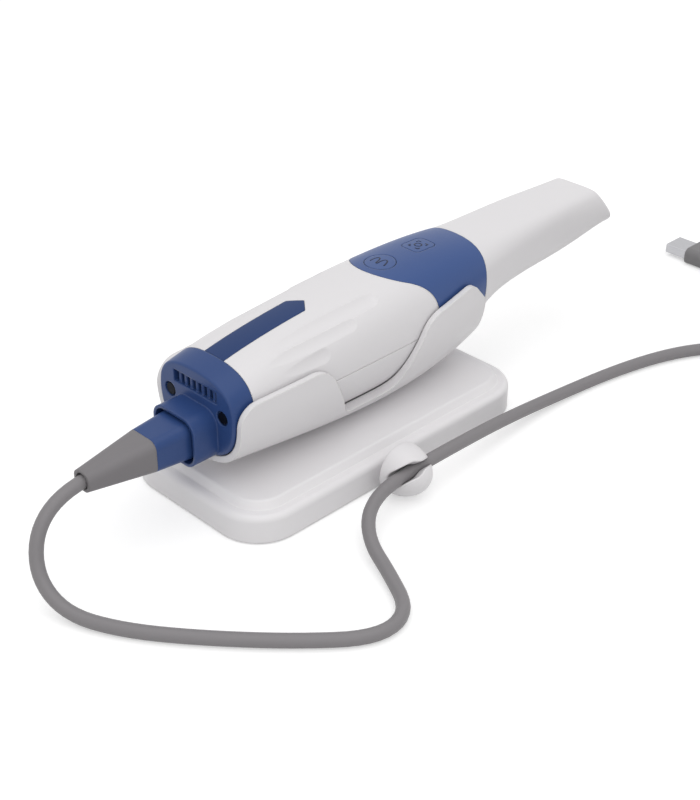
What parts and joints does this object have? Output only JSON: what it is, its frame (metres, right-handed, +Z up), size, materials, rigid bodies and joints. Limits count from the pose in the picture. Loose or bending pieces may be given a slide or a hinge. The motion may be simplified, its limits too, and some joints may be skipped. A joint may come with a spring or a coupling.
{
  "type": "intraoral scanner",
  "caption": "Hand-held intraoral scanner lying in a desk holder: tapered white handle with blue cap, buttons and removable slanted tip, cable led through a side clip.",
  "frame": {"origin": "middle of the holder's flat underside, on the table", "axes": "+X along the scanner toward its tip, +Z up, the cable clip on the -Y side"},
  "size_m": [0.3949, 0.1648, 0.0689],
  "materials": {
    "white_plastic": "satin",
    "blue_plastic": "satin",
    "dark_blue_plastic": "satin",
    "black_plastic": "matt",
    "grey_plastic": "satin",
    "grey_rubber": "matt",
    "dark_rubber": "matt",
    "black_fabric": "woven",
    "steel": "brushed",
    "aluminium": "satin",
    "circuit_board": "satin",
    "window_glass": "clear",
    "mirror": "polished"
  },
  "bodies": {
    "holder": {"anti_slip_mat": "dark_rubber", "base_plate": "white_plastic", "base_cover": "white_plastic", "base_screws": "steel", "ballast": "steel", "cradle": "white_plastic", "cradle_screws": "steel", "cable_clip": "white_plastic", "upper_shell": "white_plastic", "top_strip": "dark_blue_plastic", "lower_shell": "white_plastic", "rear_cap": "blue_plastic", "rear_frame": "black_plastic", "cap_screws": "steel", "fan_frame": "black_plastic", "button_panel": "blue_plastic", "button_board": "circuit_board", "button_switches": "black_plastic", "nose": "black_plastic", "nose_window": "window_glass", "chassis": "aluminium", "chassis_screws": "steel", "main_board": "circuit_board", "board_chips": "black_plastic", "heat_sink": "aluminium", "optics_block": "aluminium", "camera_barrel": "black_plastic", "projector_barrel": "black_plastic", "lenses": "window_glass", "sensor_board": "circuit_board", "plug_body": "blue_plastic", "strain_relief": "grey_rubber", "cable": "grey_rubber", "cable_tail": "grey_rubber", "cable_coil": "grey_rubber", "coil_tie": "black_fabric", "plug_grip": "grey_plastic", "plug_shell": "steel"},
    "scan_button": {"scan_button": "blue_plastic"},
    "capture_button": {"capture_button": "blue_plastic"},
    "tip": {"tip": "white_plastic", "tip_mirror": "mirror"},
    "fan": {"fan_rotor": "black_plastic"}
  },
  "joints": [
    {"name": "scan_press", "type": "slide", "parent": "holder", "child": "scan_button", "axis": [0, 0, -1], "range_m": [0, 0.0006], "stiffness_N_per_m": 800, "springref_m": -0.0005},
    {"name": "capture_press", "type": "slide", "parent": "holder", "child": "capture_button", "axis": [0, 0, -1], "range_m": [0, 0.0006], "stiffness_N_per_m": 800, "springref_m": -0.0005},
    {"name": "tip_pull", "type": "slide", "parent": "holder", "child": "tip", "axis": [1, 0, 0], "range_m": [0, 0.046]},
    {"name": "fan_spin", "type": "hinge", "parent": "holder", "child": "fan", "pos_m": [-0.0514, 0, 0.044], "axis": [1, 0, 0], "continuous": true}
  ]
}
